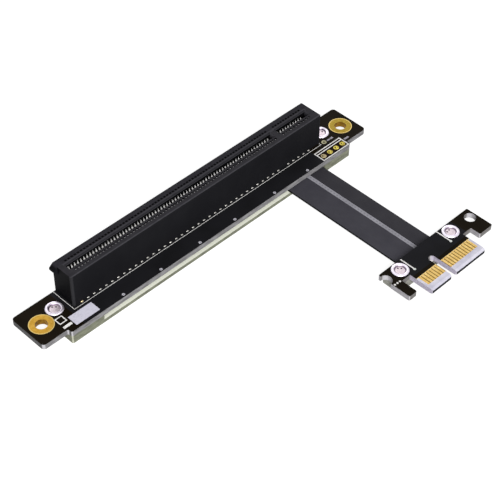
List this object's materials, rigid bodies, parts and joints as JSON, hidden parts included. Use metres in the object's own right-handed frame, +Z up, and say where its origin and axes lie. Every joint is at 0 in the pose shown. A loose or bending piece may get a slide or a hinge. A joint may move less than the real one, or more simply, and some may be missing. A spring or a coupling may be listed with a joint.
{
  "type": "riser extension cable",
  "caption": "Short ribbon riser: a long keyed card slot on one board, joined by a flat taped cable to a small edge plug board with a hook arm.",
  "frame": {"origin": "under the middle of the card slot, on the flat surface that the two back covers rest on", "axes": "+X along the card slot, from its long contact group to its short one; +Y away from the cable and the edge plug; +Z up, the way a card is pulled out of the slot"},
  "size_m": [0.1168, 0.0666, 0.0143],
  "materials": {
    "black_board": "satin",
    "pale_laminate": "matte",
    "gold_plate": "satin",
    "contact_strip": "satin",
    "solder": "satin",
    "rivet_metal": "satin",
    "copper_wire": "satin",
    "housing_polymer": "matte",
    "header_gold": "satin",
    "cable_tape": "matte",
    "cable_web_grey": "matte"
  },
  "bodies": {
    "root": {"cable_narrow_tape": "cable_tape", "cable_web": "cable_web_grey", "cable_wide_tape": "cable_tape", "header_pads": "header_gold", "mount_ring_left": "gold_plate", "mount_ring_right": "gold_plate", "plug_back_cover": "pale_laminate", "plug_board": "black_board", "plug_end_solder_pads": "solder", "plug_end_wires": "copper_wire", "plug_fingers_bottom": "gold_plate", "plug_fingers_top": "gold_plate", "plug_rivet_left": "rivet_metal", "plug_rivet_right": "rivet_metal", "slot_back_cover": "pale_laminate", "slot_board": "black_board", "slot_contacts_far": "contact_strip", "slot_contacts_near": "contact_strip", "slot_end_solder_pads": "solder", "slot_end_wires": "copper_wire", "slot_housing": "housing_polymer", "slot_rivet_left": "rivet_metal", "slot_rivet_right": "rivet_metal", "slot_tail_pads": "solder", "test_pad": "solder"}
  },
  "joints": []
}
